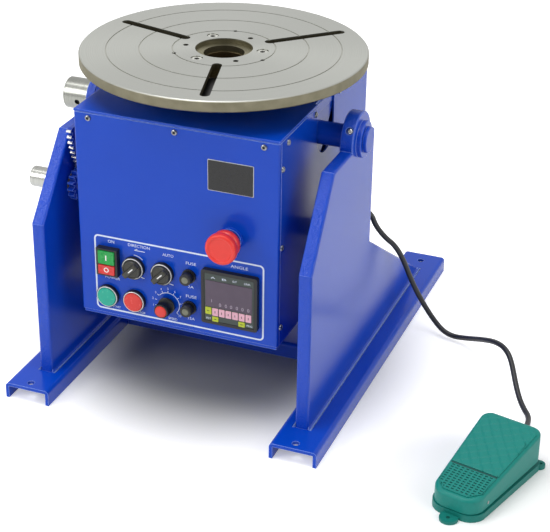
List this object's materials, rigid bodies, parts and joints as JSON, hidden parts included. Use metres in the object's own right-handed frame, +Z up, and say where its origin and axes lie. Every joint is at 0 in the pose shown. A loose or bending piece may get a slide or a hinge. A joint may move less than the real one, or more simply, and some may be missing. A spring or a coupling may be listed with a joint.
{
  "type": "welding positioner",
  "caption": "Welding positioner: motor-driven round slotted table on a control box that tilts between two posts by a toothed sector, with a foot pedal on a cable.",
  "frame": {"origin": "centre of the table's top face", "axes": "+Z up along the spindle, -Y towards the operator's panel, +X to the operator's right, along the tilt axis"},
  "size_m": [0.6752, 0.5898, 0.421],
  "materials": {
    "blue_paint": "glossy ultramarine enamel",
    "table_steel": "turned and brushed",
    "bright_steel": "bright turned",
    "gear_steel": "machined",
    "cast_grey": "machined casting",
    "bronze": "turned bronze",
    "zinc": "zinc plated",
    "black_plastic": "moulded",
    "red_plastic": "moulded",
    "green_plastic": "moulded",
    "teal_plastic": "moulded",
    "cable_rubber": "smooth sheath",
    "board": "circuit board"
  },
  "bodies": {
    "base": {"left_foot": "blue_paint", "right_foot": "blue_paint", "cross_channel": "blue_paint", "left_post": "blue_paint", "right_post": "blue_paint", "trunnion_bushes": "bronze", "eye_screw": "zinc", "crank_bush": "bronze", "cable_gland": "black_plastic", "pedal_cable": "cable_rubber", "pedal_base": "teal_plastic", "pedal_pin": "gear_steel"},
    "pedal": {"pedal_treadle": "teal_plastic"},
    "table_group": {"table": "table_steel", "table_screws": "zinc", "spindle": "gear_steel", "spindle_nut": "gear_steel", "spindle_gear": "gear_steel", "bearing_inner_rings": "gear_steel"},
    "drive": {"drive_pinion": "gear_steel"},
    "tilt_drive": {"tilt_crank_shaft": "bright_steel", "tilt_pinion": "gear_steel"},
    "estop": {"estop_button": "red_plastic"},
    "start": {"start_button": "green_plastic"},
    "stop": {"stop_button": "red_plastic"},
    "power_on": {"power_on_key": "green_plastic"},
    "power_off": {"power_off_key": "red_plastic"},
    "direction": {"direction_selector": "black_plastic"},
    "mode": {"mode_selector": "black_plastic"},
    "speed": {"speed_knob": "black_plastic"},
    "head": {"tilt_sector": "gear_steel", "left_trunnion": "blue_paint", "right_trunnion": "blue_paint", "trunnion_cap": "blue_paint", "trunnion_collar": "bright_steel", "collar_screw": "gear_steel", "trunnion_hangers": "cast_grey", "front_panel": "blue_paint", "rear_panel": "blue_paint", "left_side_panel": "blue_paint", "right_side_panel": "blue_paint", "top_plate": "blue_paint", "bottom_plate": "blue_paint", "corner_posts": "cast_grey", "panel_screws": "zinc", "spindle_housing": "cast_grey", "bearing_outer_rings": "gear_steel", "motor_plate": "cast_grey", "gearbox": "cast_grey", "drive_motor": "cast_grey", "power_supply": "cast_grey", "control_board": "board", "mains_inlet": "black_plastic", "button_bodies": "black_plastic", "selector_bodies": "black_plastic", "estop_body": "black_plastic", "speed_pot": "black_plastic", "power_switch_body": "black_plastic", "fuse_holders": "black_plastic", "counter": "black_plastic"}
  },
  "joints": [
    {"name": "head_tilt", "type": "hinge", "parent": "base", "child": "head", "pos_m": [0, -0.007, -0.086], "axis": [-1, 0, 0], "range_deg": [0, 90]},
    {"name": "tilt_crank", "type": "hinge", "parent": "base", "child": "tilt_drive", "pos_m": [-0.2, -0.09476, -0.16784], "axis": [-1, 0, 0], "range_deg": [-530, 0]},
    {"name": "table_spin", "type": "hinge", "parent": "head", "child": "table_group", "pos_m": [0, 0, 0], "axis": [0, 0, 1], "continuous": true},
    {"name": "drive_pinion_spin", "type": "hinge", "parent": "head", "child": "drive", "pos_m": [0, 0.095, -0.121], "axis": [0, 0, 1], "continuous": true},
    {"name": "estop_press", "type": "slide", "parent": "head", "child": "estop", "axis": [0, 1, 0], "range_m": [0, 0.006]},
    {"name": "start_press", "type": "slide", "parent": "head", "child": "start", "axis": [0, 1, 0], "range_m": [0, 0.003], "stiffness_N_per_m": 600, "springref_m": -0.001},
    {"name": "stop_press", "type": "slide", "parent": "head", "child": "stop", "axis": [0, 1, 0], "range_m": [0, 0.003], "stiffness_N_per_m": 600, "springref_m": -0.001},
    {"name": "power_on_press", "type": "slide", "parent": "head", "child": "power_on", "axis": [0, 1, 0], "range_m": [0, 0.003], "stiffness_N_per_m": 400, "springref_m": -0.001},
    {"name": "power_off_press", "type": "slide", "parent": "head", "child": "power_off", "axis": [0, 1, 0], "range_m": [0, 0.003], "stiffness_N_per_m": 400, "springref_m": -0.001},
    {"name": "direction_turn", "type": "hinge", "parent": "head", "child": "direction", "pos_m": [-0.057, -0.152, -0.24], "axis": [0, -1, 0], "range_deg": [0, 90]},
    {"name": "mode_turn", "type": "hinge", "parent": "head", "child": "mode", "pos_m": [-0.0185, -0.152, -0.24], "axis": [0, -1, 0], "range_deg": [0, 90]},
    {"name": "speed_turn", "type": "hinge", "parent": "head", "child": "speed", "pos_m": [-0.0125, -0.157, -0.2813], "axis": [0, -1, 0], "range_deg": [-150, 150]},
    {"name": "treadle_press", "type": "hinge", "parent": "base", "child": "pedal", "pos_m": [0.38665, -0.21866, -0.404], "axis": [-0.9744, 0.225, 0], "range_deg": [0, 1.4], "stiffness_Nm_per_rad": 60, "springref_deg": -1.15}
  ],
  "couplings": [
    {"joint": "tilt_crank", "follows": "head_tilt", "ratio": -5.8571},
    {"joint": "drive_pinion_spin", "follows": "table_spin", "ratio": -3.75}
  ]
}
